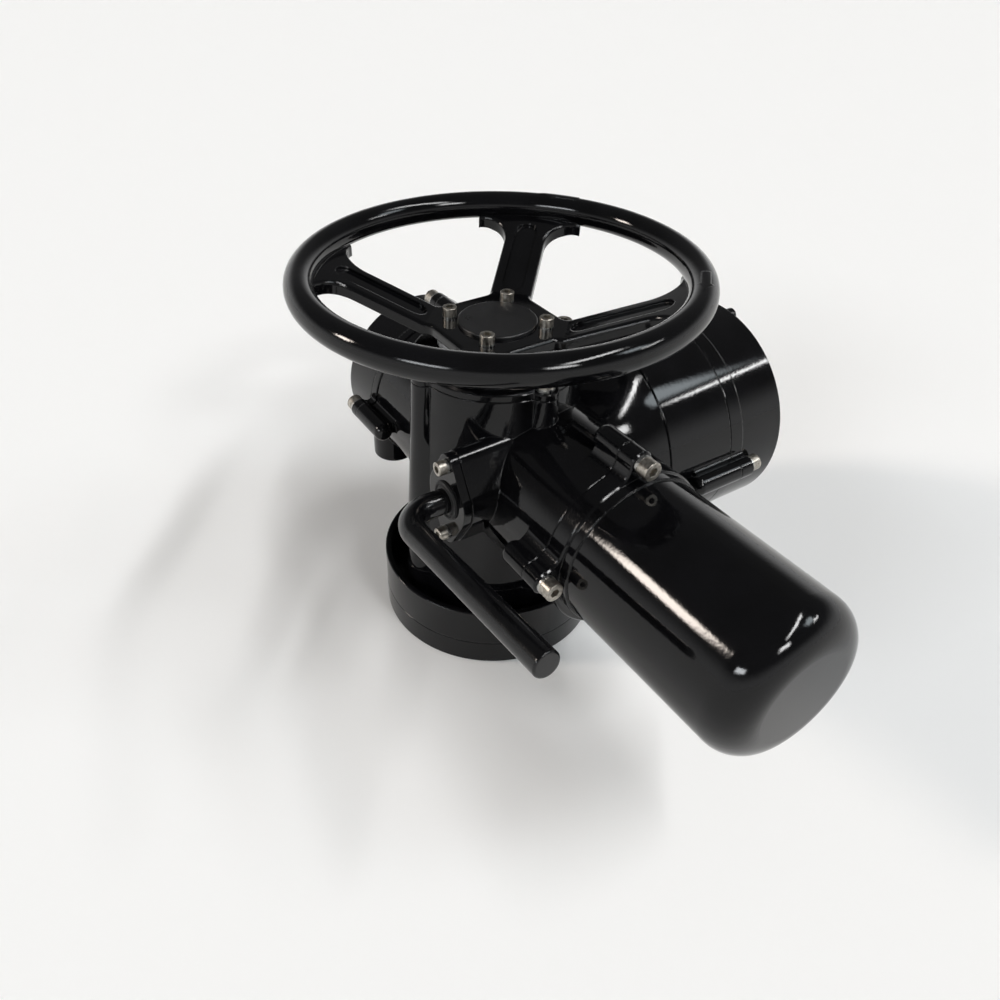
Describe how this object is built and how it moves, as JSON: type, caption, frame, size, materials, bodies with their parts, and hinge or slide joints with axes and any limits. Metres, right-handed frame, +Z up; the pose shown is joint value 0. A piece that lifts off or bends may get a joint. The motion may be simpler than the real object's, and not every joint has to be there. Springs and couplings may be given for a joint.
{
  "type": "multi-turn electric actuator",
  "caption": "Multi-turn electric valve actuator: round flanged base, gear column, side motor, control drum, terminal compartment, top handwheel and declutch lever.",
  "frame": {"origin": "centre of the base mounting face, on the output axis", "axes": "+Z up along the output shaft and handwheel axis, +X along the motor, +Y towards the control drum"},
  "size_m": [0.4335, 0.3727, 0.2993],
  "materials": {
    "housing_enamel": "glossy black enamel on a grey iron casting",
    "bright_screws": "bright stainless, lightly turned",
    "spring_steel": "bright spring steel",
    "seal_rubber": "matt black nitrile",
    "machined_steel": "fine turned",
    "gear_steel": "ground teeth, oiled",
    "bearing_steel": "polished",
    "bronze": "machined bronze",
    "cast_aluminium": "machined casting",
    "lamination_steel": "stacked sheets, varnished",
    "copper_winding": "varnished copper windings",
    "cap_metal": "black anodised, satin",
    "moulding": "fine textured moulding",
    "terminal_brass": "plated brass"
  },
  "bodies": {
    "frame": {"base_cup": "housing_enamel", "base_screws": "bright_screws", "control_cover": "housing_enamel", "control_plate": "machined_steel", "control_posts": "machined_steel", "control_screws": "bright_screws", "cover_washers": "spring_steel", "gear_housing": "housing_enamel", "handwheel_bush": "bronze", "handwheel_seal": "seal_rubber", "joint_seals": "seal_rubber", "lever_cap": "housing_enamel", "lever_cap_screws": "bright_screws", "lever_cap_washers": "spring_steel", "lever_seal": "seal_rubber", "microswitches": "moulding", "motor_bearings": "bearing_steel", "motor_cover": "housing_enamel", "motor_end_plate": "cast_aluminium", "motor_screws": "bright_screws", "mounting_ring": "housing_enamel", "output_bearings": "bearing_steel", "output_seal": "seal_rubber", "ring_screws": "bright_screws", "shaft_bush": "bronze", "stator_core": "lamination_steel", "stator_windings": "copper_winding", "switch_bracket": "machined_steel", "terminal_block": "moulding", "terminal_clamps": "terminal_brass", "terminal_cover": "housing_enamel", "terminal_screws": "bright_screws", "top_cover": "housing_enamel", "top_cover_screws": "bright_screws", "vent_plug": "housing_enamel", "worm_bearings": "bearing_steel"},
    "handwheel_group": {"handwheel": "housing_enamel", "handwheel_cap": "cap_metal", "handwheel_screws": "bright_screws", "handwheel_washers": "spring_steel", "drive_sleeve": "machined_steel"},
    "rotor_group": {"motor_shaft": "machined_steel", "rotor_core": "lamination_steel", "motor_pinion": "gear_steel"},
    "worm_group": {"worm_shaft": "machined_steel", "reduction_gear": "gear_steel", "torque_springs": "spring_steel"},
    "wheel_group": {"worm_wheel": "bronze"},
    "output_group": {"output_sleeve": "machined_steel", "bearing_spacer": "machined_steel", "crown_gear": "machined_steel", "wheel_retainer": "spring_steel", "spring_retainer": "spring_steel", "clutch_spring": "spring_steel"},
    "clutch_group": {"clutch_ring": "machined_steel"},
    "lever_group": {"declutch_lever": "housing_enamel", "shift_fork": "machined_steel"},
    "position_group": {"position_shaft": "machined_steel"},
    "cam_group": {"cam_shaft": "machined_steel"}
  },
  "joints": [
    {"name": "handwheel_spin", "type": "hinge", "parent": "frame", "child": "handwheel_group", "pos_m": [0, 0, 0.25], "axis": [0, 0, 1], "continuous": true},
    {"name": "worm_spin", "type": "hinge", "parent": "frame", "child": "worm_group", "pos_m": [0, 0.0455, 0.1495], "axis": [1, 0, 0], "continuous": true},
    {"name": "wheel_spin", "type": "hinge", "parent": "frame", "child": "wheel_group", "pos_m": [0, 0, 0.1495], "axis": [0, 0, 1], "continuous": true},
    {"name": "output_spin", "type": "hinge", "parent": "frame", "child": "output_group", "pos_m": [0, 0, 0.1], "axis": [0, 0, 1], "continuous": true},
    {"name": "rotor_spin", "type": "hinge", "parent": "frame", "child": "rotor_group", "pos_m": [0.15, 0.011, 0.1495], "axis": [1, 0, 0], "continuous": true},
    {"name": "position_spin", "type": "hinge", "parent": "frame", "child": "position_group", "pos_m": [0, 0.1, 0.1226], "axis": [0, 1, 0], "continuous": true},
    {"name": "cam_spin", "type": "hinge", "parent": "frame", "child": "cam_group", "pos_m": [-0.0375, 0.15, 0.1226], "axis": [0, 1, 0], "continuous": true},
    {"name": "lever_turn", "type": "hinge", "parent": "frame", "child": "lever_group", "pos_m": [0.052, 0, 0.16], "axis": [0, 1, 0], "range_deg": [0, 16.5]},
    {"name": "clutch_lift", "type": "slide", "parent": "output_group", "child": "clutch_group", "axis": [0, 0, 1], "range_m": [0, 0.0078], "deforming": ["clutch_spring"]}
  ],
  "couplings": [
    {"joint": "wheel_spin", "follows": "worm_spin", "ratio": 0.033333},
    {"joint": "output_spin", "follows": "worm_spin", "ratio": 0.033333},
    {"joint": "rotor_spin", "follows": "worm_spin", "ratio": -0.64286},
    {"joint": "position_spin", "follows": "worm_spin", "ratio": 0.13333},
    {"joint": "cam_spin", "follows": "worm_spin", "ratio": -0.033333},
    {"joint": "clutch_lift", "follows": "lever_turn", "m_per_rad": 0.0265}
  ]
}
